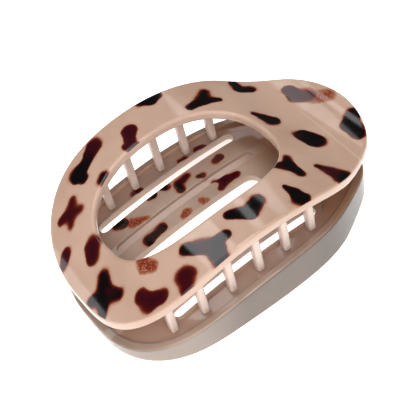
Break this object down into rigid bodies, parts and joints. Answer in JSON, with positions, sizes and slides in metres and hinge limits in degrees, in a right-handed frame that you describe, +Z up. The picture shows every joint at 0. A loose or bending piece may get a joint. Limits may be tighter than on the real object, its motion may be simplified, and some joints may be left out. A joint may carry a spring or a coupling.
{
  "type": "claw clip",
  "caption": "Lay-flat hair claw clip: an arched windowed upper jaw with comb posts, sprung on a slotted lower jaw, with finger tabs.",
  "frame": {"origin": "on the plane that the clip rests on, below the middle of its length and width", "axes": "+X from the mouth to the finger tabs and hinge, +Y along the hinge pin, +Z up through the upper jaw"},
  "size_m": [0.102, 0.068, 0.0353],
  "materials": {
    "upper_plastic": "polished milky nude acetate with dark tortoiseshell spots",
    "lower_plastic": "polished translucent nude acetate with dark tortoiseshell spots on its deck",
    "pin_steel": "drawn steel",
    "spring_steel": "drawn spring wire"
  },
  "bodies": {
    "lower": {"lower_jaw": "lower_plastic", "hinge_pin": "pin_steel", "torsion_spring": "spring_steel"},
    "upper": {"upper_jaw": "upper_plastic"}
  },
  "joints": [
    {"name": "jaw_hinge", "type": "hinge", "parent": "lower", "child": "upper", "pos_m": [0.0346, 0, 0.015], "axis": [0, 1, 0], "range_deg": [0, 35], "stiffness_Nm_per_rad": 0.15, "springref_deg": -34.38, "deforming": ["torsion_spring"]}
  ]
}
